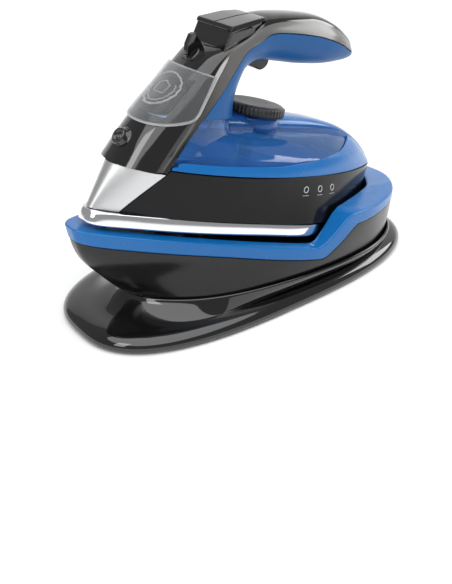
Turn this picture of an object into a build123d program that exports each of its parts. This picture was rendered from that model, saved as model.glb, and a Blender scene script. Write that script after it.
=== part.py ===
"""Cordless steam iron docked, nose high, on its charging base. Millimetres, +Z up, nose towards -X."""
import math
import os

from build123d import *

# ---------------------------------------------------------------- driving dimensions
TILT = 14.5                 # nose-up angle at which the iron lies in the cradle
DOCK_Z = 51.0               # height of the sole's face over the table, at the base's centre
WALL = 2.2                  # wall of the moulded shells
GAP = 0.4                   # clearance between pieces that move past each other
FIT = 0.35                  # radial running clearance of a pin in its bore

FOOT_LENGTH, FOOT_WIDTH, FOOT_EDGE = 300.0, 143.0, 12.0
BOWL_FLOOR = 20.0           # where the cradle's bowl stands on the foot
COLLAR_TOP = 24.0
SOLE_TOP = 10.0             # height of the soleplate's rim
SKIRT_TOP = 45.0            # where the skirt ends and the water tank's band begins
NECK_TOP = 127.0
DIAL_AT, DIAL_RADIUS, DIAL_BOTTOM, DIAL_TOP = -12.0, 21.0, 80.2, 88.2
DOOR_PIVOT = (-64.0, 121.0)
TRIGGER_PIVOT = (-40.0, 124.5)
PANEL_SLOPE = math.degrees(math.atan2(13, 17))
LEVER_PIVOT = (-80.6, 121.0)
WIDE = 90.0                 # half-width of cutting blocks that reach past every piece

DOCK = Location((0, 0, DOCK_Z)) * Rotation(0, TILT, 0)      # iron's own frame to the base's frame


# ---------------------------------------------------------------- outlines and helpers
def outline(points):
    """Closed face, symmetric about the long axis, through half an outline from nose to heel."""
    far = [(x, -y) for x, y in reversed(points[1:-1])]
    return make_face(Spline(*points, *far, periodic=True))


def inset(points, distance):
    """The same half outline drawn in all round by a distance, or let out if it is negative."""
    middle, reach = (points[0][0] + points[-1][0]) / 2, (points[-1][0] - points[0][0]) / 2
    wide = max(y for x, y in points)
    along, across = (reach - distance) / reach, (wide - distance) / wide
    return [(middle + (x - middle) * along, y * across) for x, y in points]


def oval(front, rear, half, power, steps=10):
    """Half outline of a superellipse between two stations on the long axis."""
    middle, reach = (front + rear) / 2, (rear - front) / 2
    points = []
    for step in range(steps + 1):
        turn = math.pi * step / steps
        c, s = math.cos(turn), max(0.0, math.sin(turn))
        along = math.copysign(abs(c) ** (2 / power), c)
        points.append((middle - reach * along, half * s ** (2 / power)))
    points[0], points[-1] = (front, 0.0), (rear, 0.0)
    return points


def at(height, points):
    """The outline's face at a height."""
    return Pos(0, 0, height) * outline(points)


def prism(points, low, high):
    """Straight-sided solid over an outline."""
    return extrude(at(low, points), amount=high - low)


def side_block(points, half=WIDE):
    """Solid across the width from a side view of straight lines through (x, z) points."""
    face = Plane.XZ * make_face(Polyline(*points, points[0]))
    return extrude(face, amount=half, both=True)


def region(curve, corners, half=WIDE):
    """Solid from a side view bounded by a smooth curve and then by straight lines through corners."""
    lines = [Spline(*curve), Polyline(curve[-1], *corners, curve[0])]
    return extrude(Plane.XZ * make_face(lines), amount=half, both=True)


def rod(x, y, low, high, radius):
    """Upright round bar."""
    return Pos(x, y, (low + high) / 2) * Cylinder(radius, high - low)


def cross_pin(x, z, radius, length, y=0.0):
    """Round bar across the width."""
    return Pos(x, y, z) * Rotation(90, 0, 0) * Cylinder(radius, length)


def box(x, y, z, length, width, height):
    return Pos(x, y, z) * Box(length, width, height)


def tube_along(points, radius):
    """Bent round bar through points."""
    path = Spline(*points)
    start = Plane(origin=path @ 0, z_dir=path % 0)
    return sweep(start * Circle(radius), path=path)


def biggest(shape):
    """The largest solid of a result, without the crumbs that a cut leaves."""
    return max(shape.solids(), key=lambda s: s.volume)


def softened(shape, edges, radii):
    """The shape with the first radius of the list that the edges take."""
    for radius in radii:
        try:
            rounded = fillet(edges, radius)
            if rounded.is_valid and rounded.volume > 0.5 * shape.volume:
                return rounded
        except Exception:
            continue
    print("no fillet fits")
    return shape


NODES = {}


def keep(name, shape, place=DOCK, whole=True):
    """Files a finished piece under its node's name; whole pieces lose the crumbs of their cuts."""
    solids = [biggest(shape)] if whole else list(shape.solids())
    placed = [place * solid for solid in solids]
    NODES[name] = placed[0] if len(placed) == 1 else Compound(children=placed)
    return shape


BASE = Location()

# ---------------------------------------------------------------- outlines, nose to heel
SOLE = [(-143, 0), (-139, 5), (-118, 17), (-88, 30.5), (-55, 40.5), (-20, 49), (15, 56), (38, 53),
        (62, 44.5), (90, 28), (104, 0)]
SKIRT_LOW = [(-140, 0), (-136, 4.5), (-114, 15.5), (-86, 29), (-55, 39), (-20, 47.5), (15, 54),
             (38, 51.3), (62, 43.3), (92, 28.5), (113, 0)]
SKIRT_HIGH = [(-129, 0), (-124, 10), (-108, 26), (-80, 38), (-45, 46), (-10, 48.5), (25, 45.5),
              (60, 38), (92, 26), (113, 13), (119, 0)]
TANK_MID = [(-122, 0), (-117, 9.5), (-102, 24), (-78, 35), (-45, 42), (-10, 44), (25, 41), (58, 33.5),
            (84, 22.5), (101, 11), (106, 0)]
TANK_HIGH = [(-104, 0), (-101.5, 6), (-92, 12), (-75, 16), (-45, 18), (-10, 18.5), (20, 17), (42, 14),
             (60, 10.5), (73, 6), (78, 0)]
NECK = [(44, -129, -28, 29, 2.3), (60, -121.5, -31, 28.5, 2.5), (78, -111.5, -34, 27.5, 2.8),
        (95, -100, -35.5, 26, 3.0), (110, -89, -34.5, 24.5, 3.2), (NECK_TOP, -76, -30, 22.5, 3.4)]
# station, top, crease half-width and height, seam half-width and height, underside
HANDLE = [(-60, 147, 15.5, 144, 20, 118, 86), (-45, 150, 14.5, 147, 19.7, 132.5, 99),
          (-30, 152.5, 14, 149, 19.3, 141, 113), (-12, 155.5, 13.5, 151.5, 19.3, 143.5, 120.5),
          (15, 157, 13.5, 152.5, 19.5, 143.5, 121.5), (40, 153.5, 12.5, 149.3, 18.5, 140.5, 123),
          (60, 145, 9, 142, 13.5, 135.5, 126.5), (70, 138.3, 4.2, 137, 6.8, 133, 129.6)]
HANDLE_TIP = (73.5, 132.8)
# side view of the seam between the black shells and the blue or clear ones behind and below
SEAM = [(-129, 0), (-121, 14), (-103, 42), (-87, 70), (-68, 98), (-57.5, 116), (-47, 131), (-35, 139.5),
        (-14, 143.5), (21, 143), (50, 137.8), (80, 129)]
TANK_SEAM = [(-140, 72), (-75, 77), (-50, 82), (0, 84)]
BAND_TOP = [(-150, 50), (-20, 52.5), (60, 58.5), (130, 69)]

# cradle, over the table at four heights, and its opening in the iron's frame
BOWL_AT = {
    20: [(-110, 0), (-108, 7), (-100, 23), (-77, 42), (-48, 54.5), (-14, 62), (22, 66), (56, 66),
         (86, 61), (112, 47), (130, 22), (135, 0)],
    42: [(-129.5, 0), (-125, 7), (-110, 20), (-82, 37), (-52, 50), (-16, 62.5), (22, 70), (54, 69.5),
         (86, 62), (118, 46), (143, 20), (150, 0)],
    62: [(-144, 0), (-139, 6), (-122, 17), (-93, 33), (-57, 49), (-18, 62.5), (22, 70.5), (56, 69.5),
         (88, 62), (122, 46), (148, 20), (156, 0)],
    90: [(-151, 0), (-147, 5), (-128, 15), (-97, 31), (-59, 49), (-19, 62.5), (22, 70.5), (57, 69.5),
         (89, 62), (123, 46), (149, 20), (157, 0)]}
WELL = [(-124, 0), (-119, 6), (-105, 13.5), (-79, 26), (-44, 41), (-15, 51), (18, 59.5), (40, 55.5),
        (62, 47.5), (84, 38.5), (104, 28), (117, 12), (121, 0)]
RIM_TOP = [(-170, -5), (22, -5), (44, 22), (170, 28)]
RIM_LOW = [(-170, -14), (27, -14), (52, 12), (170, 18)]


def neck(grow=0.0):
    """Envelope of the neck, grown outwards by a distance."""
    return loft([at(z, oval(front - grow, rear + grow, half + grow, power))
                 for z, front, rear, half, power in NECK])


def handle(grow=0.0):
    """Envelope of the handle, lofted over upright sections from the neck to the open rear end."""
    sections = []
    for x, top, crease, crease_z, wide, seam_z, under in HANDLE:
        a, b = max(1.0, crease + grow * 0.6), max(1.6, wide + grow)
        t, u = top + grow, under - grow
        c = min(crease_z + grow * 0.8, t - 0.4)
        low = u + (seam_z - u) * 0.18
        under_curve = Spline((b, seam_z), (b * 0.72, low), (0, u), (-b * 0.72, low), (-b, seam_z),
                             tangents=[(0, -1), (0, 1)])
        lines = [ThreePointArc((-a, c), (0, t), (a, c)), Line((a, c), (b, seam_z)), under_curve,
                 Line((-b, seam_z), (-a, c))]
        upright = Plane(origin=(x, 0, 0), x_dir=(0, 1, 0), z_dir=(1, 0, 0))
        sections.append(upright * make_face(lines))
    sections.append(Vertex(HANDLE_TIP[0] + grow, 0, HANDLE_TIP[1]))
    return loft(sections)


def tank_sides(grow=0.0):
    """Envelope of the tank's sloping sides."""
    return loft([at(SKIRT_TOP, inset(SKIRT_HIGH, -grow)), at(56, inset(TANK_MID, -grow)),
                 at(69 + grow, inset(TANK_HIGH, -grow))])


def ridge(grow=0.0):
    """Envelope of the rounded ridge along the tank's back and the drum under the dial."""
    top = [(-60, 78), (-12, 78.6), (20, 79.6), (48, 78), (76, 73), (100, 63), (112, 53.5), (119, 45)]
    top = [(x + (grow if x > 90 else 0), z + grow) for x, z in top]
    low = SKIRT_TOP
    side = region(top, [(119 + grow, low - 8), (-60, low - 8)], half=40)
    plan = [(-60, 16 + grow), (20, 15 + grow), (119 + grow, 8.5 + grow)]
    back = Polyline(*plan, *[(x, -y) for x, y in reversed(plan)], plan[0])
    body = side & extrude(Pos(0, 0, low) * make_face(back), amount=60)
    crest = [e for e in body.edges() if abs(e.center().Y) > 6 and e.center().Z > 62 and e.length > 30]
    return softened(body, crest, [7 + grow, 5 + grow, 3 + grow])


def upper_shell():
    """Hollow skin of tank, neck and handle, to be parted along the seams."""
    solids = []
    for grow in (0.0, -WALL):
        drum = rod(DIAL_AT, 0, SKIRT_TOP, 79 + grow, 19.5 + grow)
        solids.append(tank_sides(grow) + ridge(grow) + drum + neck(grow) + handle(grow))
    return solids


# ---------------------------------------------------------------- side-view regions
BLACK = region(SEAM, [(80, 190), (-190, 190), (-190, 0)])
UNDER_BAND = region(BAND_TOP, [(130, 0), (-150, 0)])
UNDER_TANK_SEAM = region(TANK_SEAM, [(200, 84), (200, 0), (-140, 0)])
BELOW_NECK_TOP = side_block([(-200, 0), (-200, 126.4), (-60, 126.4), (-45, 134), (-45, 0)])
HEAD = side_block([(-67.5, 126.6), (-63.5, 143), (-46, 149.4), (-32, 152.4), (-32, 136), (-47, 126.6)], 19.8)
HEAD_PLAN = extrude(Pos(0, 0, 100) * make_face(Polyline(
    (-70, 19.8), (-48, 19.4), (-32, 14), (-32, -14), (-48, -19.4), (-70, -19.8), (-70, 19.8))), amount=80)
BUTTON_SPACE = side_block([(-90, 136.8), (-46, 142.2), (-31.6, 145.8), (-31.6, 190), (-90, 190)], 30)
BUTTON_ZONE = side_block([(-90, 140.0), (-46, 145.4), (-32.2, 149), (-32.2, 190), (-90, 190)], 30)
WINDOW = side_block([(-150, 77), (-92, 77), (-83, 105), (-150, 105)], 18.5)
DOOR_SIDE = side_block([(-150, 71.5), (-91, 71.5), (-80, 85), (-71, 103), (-60, 117), (-59.5, 124),
                        (-67, 126), (-79, 109.5), (-150, 109.5)])
PANEL_SIDE = side_block([(-150, 110.5), (-76, 110.5), (-66, 126), (-150, 126)], 17.5)


# ---------------------------------------------------------------- the base
def bowl_envelope(shrink=0.0):
    return loft([at(z, inset(BOWL_AT[z], shrink)) for z in sorted(BOWL_AT)])


def make_foot():
    """Gloss foot moulding with a dished top and a collar round the cradle, open underneath."""
    half, wide = FOOT_LENGTH / 2, FOOT_WIDTH / 2
    plate = loft([at(z, oval(-half + d, half - d, wide - d, 2.76, 12))
                  for z, d in ((1.5, 1), (4, 0), (7.5, 0.8), (10.3, 3.2), (FOOT_EDGE, 8))])
    hill = loft([at(9, oval(-138, 141, 62, 2.6, 11)), at(BOWL_FLOOR, inset(BOWL_AT[20], -3))])
    collar = prism(inset(BOWL_AT[20], -2.6), BOWL_FLOOR - 1, COLLAR_TOP)
    inside = prism(oval(-half + 3, half - 3, wide - 3, 2.76, 12), 0, 6.5)
    hollow = loft([at(6.4, oval(-132, 134, 55, 2.6, 11)), at(17, inset(BOWL_AT[20], 2))])
    foot = plate + hill + (collar - bowl_envelope()) - inside - hollow
    foot = foot - Pos(143, 0, 6.9) * Rotation(0, 90, 0) * Cylinder(4.4, 30)
    for x, y in SCREWS:
        foot = foot + rod(x, y, 4, 8, 4) - rod(x, y, 2, 7, 1.3)
    keep("foot_shell", foot, BASE)


SCREWS = [(-105, 0), (-35, 48), (-35, -48), (60, 50), (60, -50)]
PADS = [(-95, -34), (-95, 34), (95, -38), (95, 38)]


def make_foot_fittings():
    """Underside cover, rubber feet, ballast, screws and the cord's inlet."""
    half = FOOT_LENGTH / 2
    cover = prism(oval(-half + 3.3, half - 3.3, FOOT_WIDTH / 2 - 3.3, 2.76, 12), 1.5, 4)
    feet, screws = [], []
    for x, y in PADS:
        cover = cover - rod(x, y, 0, 2.5, 9)
        pad = rod(x, y, 0, 2.5, 9)
        feet.append(softened(pad, [e for e in pad.edges() if e.center().Z < 0.1], [0.8]))
    for x, y in SCREWS:
        cover = cover - rod(x, y, 0, 2.6, 3.2) - rod(x, y, 2, 5, 1.6)
        screws.append(rod(x, y, 1.7, 2.6, 3.0) + rod(x, y, 2.6, 6.8, 1.3) - box(x, y, 1.7, 4, 0.7, 0.8))
    keep("foot_cover", cover, BASE)
    keep("rubber_feet", Compound(children=feet), BASE, whole=False)
    keep("foot_screws", Compound(children=screws), BASE, whole=False)
    steel = prism(oval(-92, 92, 38, 4), 4, 8.5)
    for x, y in SCREWS:
        steel = steel - rod(x, y, 0, 12, 6)
    keep("ballast_plate", steel, BASE)
    gland = Pos(143.5, 0, 6.9) * Rotation(0, 90, 0) * Cylinder(4.4, 9)
    bore = Pos(143, 0, 6.9) * Rotation(0, 90, 0) * Cylinder(3.1, 30)
    keep("cord_gland", (gland - bore) & box(140, 0, 7.9, 60, 40, 7.7), BASE)
    board = box(110, 0, 11.3, 30, 44, 1.6) + box(104, -10, 13.4, 8, 10, 2.6) + box(116, 8, 13.4, 6, 12, 2.6)
    keep("contact_board", board, BASE)


def make_cradle():
    """Black bowl, blue rim with its raised rear, and the liner that the iron lies in."""
    envelope = bowl_envelope()
    under_rim = DOCK * side_block(RIM_LOW + [(170, -160), (-170, -160)])
    under_top = DOCK * side_block(RIM_TOP + [(170, -160), (-170, -160)])
    opening = DOCK * prism(WELL, -60, 60)
    rim = (envelope & under_top) - under_rim - opening
    rim = biggest(rim)
    outer = [e for e in rim.edges() if e.length > 60]
    keep("cradle_rim", softened(rim, outer, [1.6, 1.2, 0.8]), BASE)
    shell = (envelope & under_rim) - (bowl_envelope(2.6) & box(0, 0, BOWL_FLOOR + 52.6, 400, 200, 100))
    keep("cradle_bowl", shell, BASE)
    wall = DOCK * (prism(inset(WELL, -2.2), -9, 40) - prism(WELL, -6.8, 41))
    floor = DOCK * prism(WELL, -9, -6.8)
    inside = bowl_envelope(2.7) & box(0, 0, BOWL_FLOOR + 52.7, 400, 200, 100)
    keep("cradle_liner", (wall & inside & under_rim) + (floor & inside), BASE)
    pads = [rod(x, y, -6.8, -0.6, 5) for x, y in ((-62, 16), (-62, -16), (38, 30), (38, -30))]
    keep("rest_pads", Compound(children=pads), DOCK, whole=False)
    block = (DOCK * box(111, 0, 0, 9, 20, 16)) & box(0, 0, BOWL_FLOOR + 52.8, 400, 200, 100)
    keep("contact_block", block, BASE)
    blades = [box(110, y, 8.7, 5, 3, 1.4) for y in (-6, 0, 6)]
    keep("contact_blades", Compound(children=blades), DOCK, whole=False)


# ---------------------------------------------------------------- the iron, in its own frame
def make_soleplate():
    """Polished plate with flared sides, a top ledge, a pocket for the casting and rows of steam holes."""
    plate = loft([at(0, inset(SOLE, 4.5)), at(6.5, SOLE)]) + prism(SOLE, 6.4, 8.6)
    plate = plate + loft([at(8.6, SOLE), at(SOLE_TOP, inset(SOLE, 1.2))])
    plate = plate - prism(inset(SOLE, 7), 3, 12)
    for x in range(-110, 80, 19):
        reach = 0.30 * (x + 140) if x < 0 else 0.30 * (140 - x)
        for y in (-reach, 0, reach):
            plate = plate - rod(x + abs(y) * 0.3, y, -1, 4, 1.6)
    keep("soleplate", plate)


def make_heater():
    """Cast heater block with its embedded element, chamber cover and temperature sensor."""
    path = [(104, -9, 9), (70, -27, 9), (10, -36, 9), (-60, -22, 9), (-104, 0, 9), (-60, 22, 9),
            (10, 36, 9), (70, 27, 9), (104, 9, 9)]
    element = tube_along(path, 3.2)
    casting = prism(inset(SOLE, 7.4), 3, 14)
    keep("heater_casting", casting - element)
    keep("heating_element", element & prism(inset(SOLE, 7.4), 3, 14))
    keep("chamber_cover", prism(inset(SOLE, 15), 14, 15.6))
    keep("thermostat", rod(DIAL_AT, 0, 15.6, 20, 10) + rod(DIAL_AT, 0, 20, 23.2, 4.5))


def make_skirt():
    """Black skirt with the brushed cover over its nose, and the crescent that closes the heel."""
    body = loft([at(SOLE_TOP, SKIRT_LOW), at(SKIRT_TOP, SKIRT_HIGH)])
    inner = loft([at(SOLE_TOP, inset(SKIRT_LOW, WALL)), at(SKIRT_TOP, inset(SKIRT_HIGH, WALL))])
    shell = body - inner
    keep("nose_cover", shell & BLACK & box(0, 0, 20, 400, 200, 44))
    keep("skirt", shell - (BLACK & box(0, 0, 20, 400, 200, 44)))
    crescent = prism(inset(SKIRT_LOW, WALL + 0.2), 10, 12) - prism(inset(SOLE, -0.3), 9, 13)
    crescent = crescent & box(110, 0, 11, 30, 60, 4)
    pins = [rod(108.2, y, 9.9, 15, 1.2) for y in (-6, 0, 6)]
    for pin in pins:
        crescent = crescent - pin
    keep("heel_cover", crescent)
    keep("heel_contacts", Compound(children=pins), DOCK, whole=False)


def make_upper():
    """Tank, neck and handle skins parted along their seams, with every opening cut."""
    outer, inner = upper_shell()
    shell = outer - inner
    above = side_block([(-200, SKIRT_TOP), (-200, 200), (200, 200), (200, SKIRT_TOP)])
    shell = (shell & above) - HEAD_BAY
    black = shell & BLACK
    rest = shell - BLACK
    pins = cross_pin(*DOOR_PIVOT, 2.0 + FIT, 70)
    stem = DIAL_STEM_BORE
    band = rest & UNDER_BAND
    tank = (rest - UNDER_BAND) & UNDER_TANK_SEAM
    grip = rest - UNDER_BAND - UNDER_TANK_SEAM
    trigger_slot = side_block([(-52, 100), (-52, 121), (-38, 131), (-11.5, 131), (-11.5, 100)], 7.5)
    neck_front = (black & BELOW_NECK_TOP) - WINDOW - pins - PANEL_SIDE - cross_bore_nozzle()
    top = black - BELOW_NECK_TOP
    keep("tank_band", band)
    keep("tank_shell", tank - stem)
    keep("grip_shell", grip - trigger_slot - cross_pin(*TRIGGER_PIVOT, 1.5, 60))
    keep("neck_shell", neck_front)
    keep("handle_top", top)
    panel = (neck(0.6) - neck(-WALL)) & PANEL_SIDE & BLACK
    keep("control_panel", (panel & BELOW_NECK_TOP) - LEVER_BORE)


HEAD_BAY = (HEAD & HEAD_PLAN) + (BUTTON_SPACE & box(-55, 0, 150, 48, 60, 40))
DIAL_STEM_BORE = rod(DIAL_AT, 0, 20, 100, 2.5 + FIT)
LEVER_FRAME = Pos(LEVER_PIVOT[0], 0, LEVER_PIVOT[1]) * Rotation(0, PANEL_SLOPE - 90, 0)
LEVER_BORE = LEVER_FRAME * Cylinder(2.0 + FIT, 30)


def cross_bore_nozzle():
    return Pos(-125, 0, 58) * Rotation(0, -68, 0) * Cylinder(7.2, 16)


def make_head():
    """Head at the front of the handle with the two pump buttons."""
    head = HEAD & HEAD_PLAN
    body = head - BUTTON_SPACE
    zone = head & BUTTON_ZONE
    for name, sign in (("spray_button", 1), ("boost_button", -1)):
        half = box(-50, sign * 20.3, 150, 60, 40, 60)
        stem = rod(-51, sign * 9, 122, 147, 1.8)
        body = body - rod(-51, sign * 9, 110, 160, 1.8 + FIT)
        keep(name, (zone & half) + stem)
    keep("head_block", body - box(-53, 0, 126, 16, 30, 12))


def make_pumps():
    pumps, hoses = [], []
    for sign in (1, -1):
        pumps.append(rod(-51, sign * 9, 104, 126, 5.2) - rod(-51, sign * 9, 112, 130, 1.8 + FIT))
        path = [(-51, sign * 9, 103.9), (-51.5, sign * 9, 92), (-58, sign * 10, 70), (-60, sign * 10, 50)]
        hoses.append(tube_along(path, 1.7))
    keep("pumps", Compound(children=pumps), DOCK, whole=False)
    keep("pump_hoses", Compound(children=hoses), DOCK, whole=False)


def make_tank_fittings():
    """Tank floor with the dial's guide tube, filler funnel and spray nozzle."""
    floor = prism(inset(SKIRT_HIGH, 5), SKIRT_TOP + 0.2, SKIRT_TOP + 2.4)
    tube = rod(DIAL_AT, 0, SKIRT_TOP + 0.2, 76, 5)
    keep("tank_floor", floor + tube - rod(DIAL_AT, 0, 20, 100, 2.5 + FIT))
    cup = side_block([(-150, 74.5), (-78, 74.5), (-70, 108), (-150, 108)], 21) & neck(-WALL - 0.1)
    hollow = side_block([(-150, 76.5), (-81, 76.5), (-73, 106), (-150, 106)], 19)
    keep("filler_funnel", cup - hollow + (rod(-94, 0, 52, 76, 8) - rod(-94, 0, 50, 76.4, 6))
         - rod(-94, 0, 50, 78, 6))
    nozzle = Cylinder(7.0, 12) + Pos(0, 0, 7) * Cylinder(5.4, 5) - Pos(0, 0, 9) * Cylinder(1.2, 8)
    keep("spray_nozzle", Pos(-125, 0, 58) * Rotation(0, -68, 0) * nozzle)


def make_door():
    """Clear filler door, a curved cover with two arms that snap into the neck."""
    cover = (neck(2.8) - neck(0.6 + GAP * 0.5)) & DOOR_SIDE
    cover = biggest(cover)
    for sign in (1, -1):
        cover = cover + cross_pin(*DOOR_PIVOT, 2.0, 6.4, sign * 22.6)
    keep("filler_door", cover)


def make_controls():
    """Thermostat dial with its shaft, steam lever, trigger and its pin."""
    knob = rod(DIAL_AT, 0, DIAL_BOTTOM, DIAL_TOP, DIAL_RADIUS)
    knob = softened(knob, [e for e in knob.edges() if e.center().Z > DIAL_TOP - 0.1], [1.0])
    for step in range(36):
        turn = math.radians(step * 10)
        x, y = DIAL_AT + DIAL_RADIUS * math.cos(turn), DIAL_RADIUS * math.sin(turn)
        knob = knob - Pos(x, y, DIAL_BOTTOM + 3) * Rotation(0, 0, step * 10) * Box(1.4, 1.6, 8)
    keep("dial", knob - rod(DIAL_AT, 0, 70, 85, 2.5))
    keep("dial_shaft", rod(DIAL_AT, 0, 24, 85, 2.5))
    finger = Pos(0.5, 0, 5) * Box(13, 4.4, 7.2) + Pos(0, 0, 3.2) * Cylinder(6, 3.8)
    keep("steam_lever", LEVER_FRAME * (finger + Pos(0, 0, -3) * Cylinder(2.0, 12)))
    body = region([(-46, 119), (-43.5, 114.2), (-36, 116), (-27, 115.4), (-19, 113.6), (-13.6, 117.5),
                   (-12.4, 124)], [(-15, 128), (-44, 128)], half=7)
    keep("trigger", body - cross_pin(*TRIGGER_PIVOT, 1.5 + FIT, 40))
    keep("trigger_pin", cross_pin(*TRIGGER_PIVOT, 1.5, 34))


def main():
    for make in (make_foot, make_foot_fittings, make_cradle, make_soleplate, make_heater, make_skirt,
                 make_upper, make_head, make_pumps, make_tank_fittings, make_door, make_controls):
        make()
    os.makedirs("parts", exist_ok=True)
    for name, shape in NODES.items():
        export_step(shape, f"parts/{name}.step")
        print(name, len(shape.solids()), round(sum(s.volume for s in shape.solids())))


if __name__ == "__main__":
    main()
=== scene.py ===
"""Cordless steam iron lying nose-high in its charging base. Metres; the nose points towards -X."""
import math

import bmesh
import bpy
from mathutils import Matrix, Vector


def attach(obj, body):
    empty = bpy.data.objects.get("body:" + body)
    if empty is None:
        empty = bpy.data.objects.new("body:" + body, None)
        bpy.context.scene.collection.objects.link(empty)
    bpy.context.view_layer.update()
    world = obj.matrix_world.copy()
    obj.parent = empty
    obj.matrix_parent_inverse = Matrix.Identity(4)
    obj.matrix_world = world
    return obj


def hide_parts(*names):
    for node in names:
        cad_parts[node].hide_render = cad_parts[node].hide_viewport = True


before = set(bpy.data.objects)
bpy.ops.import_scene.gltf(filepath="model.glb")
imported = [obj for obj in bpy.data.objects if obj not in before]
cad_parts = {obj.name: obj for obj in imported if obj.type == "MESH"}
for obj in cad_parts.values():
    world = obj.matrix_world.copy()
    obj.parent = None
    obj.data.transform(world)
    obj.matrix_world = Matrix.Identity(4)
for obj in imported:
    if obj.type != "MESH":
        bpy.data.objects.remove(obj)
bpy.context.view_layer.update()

# ---------------------------------------------------------------- foot
# Gloss black injection-moulded foot: a fat rounded oval whose top rises to a collar round the cradle.
# Closed from below by a satin cover that five screws hold; it stands on four rubber pads.


class Maths:
    """A shader socket that takes part in ordinary arithmetic; every step adds one Math node."""

    def __init__(self, tree, socket):
        self.tree, self.socket = tree, socket

    def step(self, operation, first, second=None):
        node = self.tree.nodes.new("ShaderNodeMath")
        node.operation = operation
        for slot, value in zip(node.inputs, (first, second)):
            if isinstance(value, Maths):
                self.tree.links.new(value.socket, slot)
            elif value is not None:
                slot.default_value = value
        return Maths(self.tree, node.outputs[0])

    def __add__(self, other):
        return self.step("ADD", self, other)

    def __radd__(self, other):
        return self.step("ADD", other, self)

    def __sub__(self, other):
        return self.step("SUBTRACT", self, other)

    def __rsub__(self, other):
        return self.step("SUBTRACT", other, self)

    def __mul__(self, other):
        return self.step("MULTIPLY", self, other)

    def __rmul__(self, other):
        return self.step("MULTIPLY", other, self)

    def __truediv__(self, other):
        return self.step("DIVIDE", self, other)

    def __rtruediv__(self, other):
        return self.step("DIVIDE", other, self)

    def __pow__(self, other):
        return self.step("POWER", self, other)

    def above(self, other):
        return self.step("GREATER_THAN", self, other)

    def largest(self, other):
        return self.step("MAXIMUM", self, other)

    def smallest(self, other):
        return self.step("MINIMUM", self, other)


class Shader:
    """One material's node tree."""

    def __init__(self, name):
        self.material = bpy.data.materials.new(name)
        self.material.use_nodes = True
        self.tree = self.material.node_tree
        self.tree.nodes.clear()
        self.output = self.tree.nodes.new("ShaderNodeOutputMaterial")

    def node(self, kind, settings=None, inputs=None, out=0):
        """Adds a node, sets its settings, then its sockets; gives back one of its outputs."""
        made = self.tree.nodes.new(kind)
        for key, value in (settings or {}).items():
            setattr(made, key, value)
        for key, value in (inputs or {}).items():
            slot = made.inputs[key]
            if isinstance(value, Maths):
                self.tree.links.new(value.socket, slot)
            else:
                slot.default_value = value
        return Maths(self.tree, made.outputs[out])

    def place(self, scale=(1, 1, 1)):
        """The surface point in metres, stretched per axis."""
        where = self.node("ShaderNodeTexCoord", out="Object")
        return self.node("ShaderNodeVectorMath", {"operation": "MULTIPLY"}, {0: where, 1: scale})

    def noise(self, scale, stretch=(1, 1, 1), detail=3.0):
        return self.node("ShaderNodeTexNoise", None,
                         {"Vector": self.place(stretch), "Scale": scale, "Detail": detail}, "Fac")

    def mix(self, factor, first, second):
        ends = [c if isinstance(c, Maths) else (*c, 1) for c in (first, second)]
        return self.node("ShaderNodeMix", {"data_type": "RGBA"}, {0: factor, 6: ends[0], 7: ends[1]}, 2)

    def bump(self, height, strength, distance=0.0002):
        return self.node("ShaderNodeBump", None,
                         {"Height": height, "Strength": strength, "Distance": distance})

    def surface(self, inputs):
        """Ends the tree in a Principled surface."""
        shade = self.node("ShaderNodeBsdfPrincipled", None, inputs)
        self.tree.links.new(shade.socket, self.output.inputs[0])
        return self.material


def plastic(name, color, rough=0.12, coat=0.5, drift=0.12, peel=0.03, grain=0.0, ior=1.5):
    """Moulded plastic: slow drift of tint, faint wipe marks in the gloss, orange peel and fine grain."""
    s = Shader(name)
    slow = s.noise(14, detail=2)
    wipe = s.noise(60, (1, 0.25, 1), 4)
    fine = s.noise(2600 if grain else 420, detail=2)
    darker = tuple(c * (1 - drift) for c in color)
    lighter = tuple(min(1, c * (1 + drift)) for c in color)
    return s.surface({
        "Base Color": s.mix(slow, darker, lighter),
        "Roughness": (wipe - 0.5) * rough * 0.9 + rough,
        "Normal": s.bump(fine, max(peel, grain), 0.00012 if grain else 0.0003),
        "Coat Weight": (wipe * 0.15 + (coat - 0.08)).largest(0.0),
        "Coat Roughness": 0.03, "IOR": ior})


def metal(name, color, rough=0.25, stretch=(1, 1, 1), scale=900, depth=0.12, drift=0.12):
    """Metal with its working marks: grain stretched along one way, with slow dull patches."""
    s = Shader(name)
    grain = s.noise(scale, stretch, 4)
    slow = s.noise(22, detail=2)
    darker = tuple(c * (1 - drift) for c in color)
    return s.surface({
        "Base Color": s.mix(grain * 0.6 + slow * 0.4, darker, color), "Metallic": 1.0,
        "Roughness": rough * 0.6 + grain * (rough * 0.5) + slow * (rough * 0.3),
        "Normal": s.bump(grain, depth, 0.00008)})


BLACK = plastic("black_gloss", (0.0045, 0.0045, 0.005), 0.07, 0.6)
SATIN = plastic("black_satin", (0.012, 0.012, 0.013), 0.38, 0.0, grain=0.12)
RUBBER = plastic("soft_rubber", (0.014, 0.014, 0.014), 0.6, 0.0, grain=0.2)
ZINC = metal("zinc_steel", (0.55, 0.56, 0.58), 0.3)

TILT, DOCK_Z = math.radians(14.5), 51.0
ALONG = Vector((math.cos(TILT), 0, -math.sin(TILT)))
UPRIGHT = Vector((math.sin(TILT), 0, math.cos(TILT)))


def spot(u, v, w):
    """A point of the iron's own frame, in millimetres, as a place in the scene."""
    return (Vector((0, v, DOCK_Z)) + ALONG * u + UPRIGHT * w) / 1000


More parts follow.
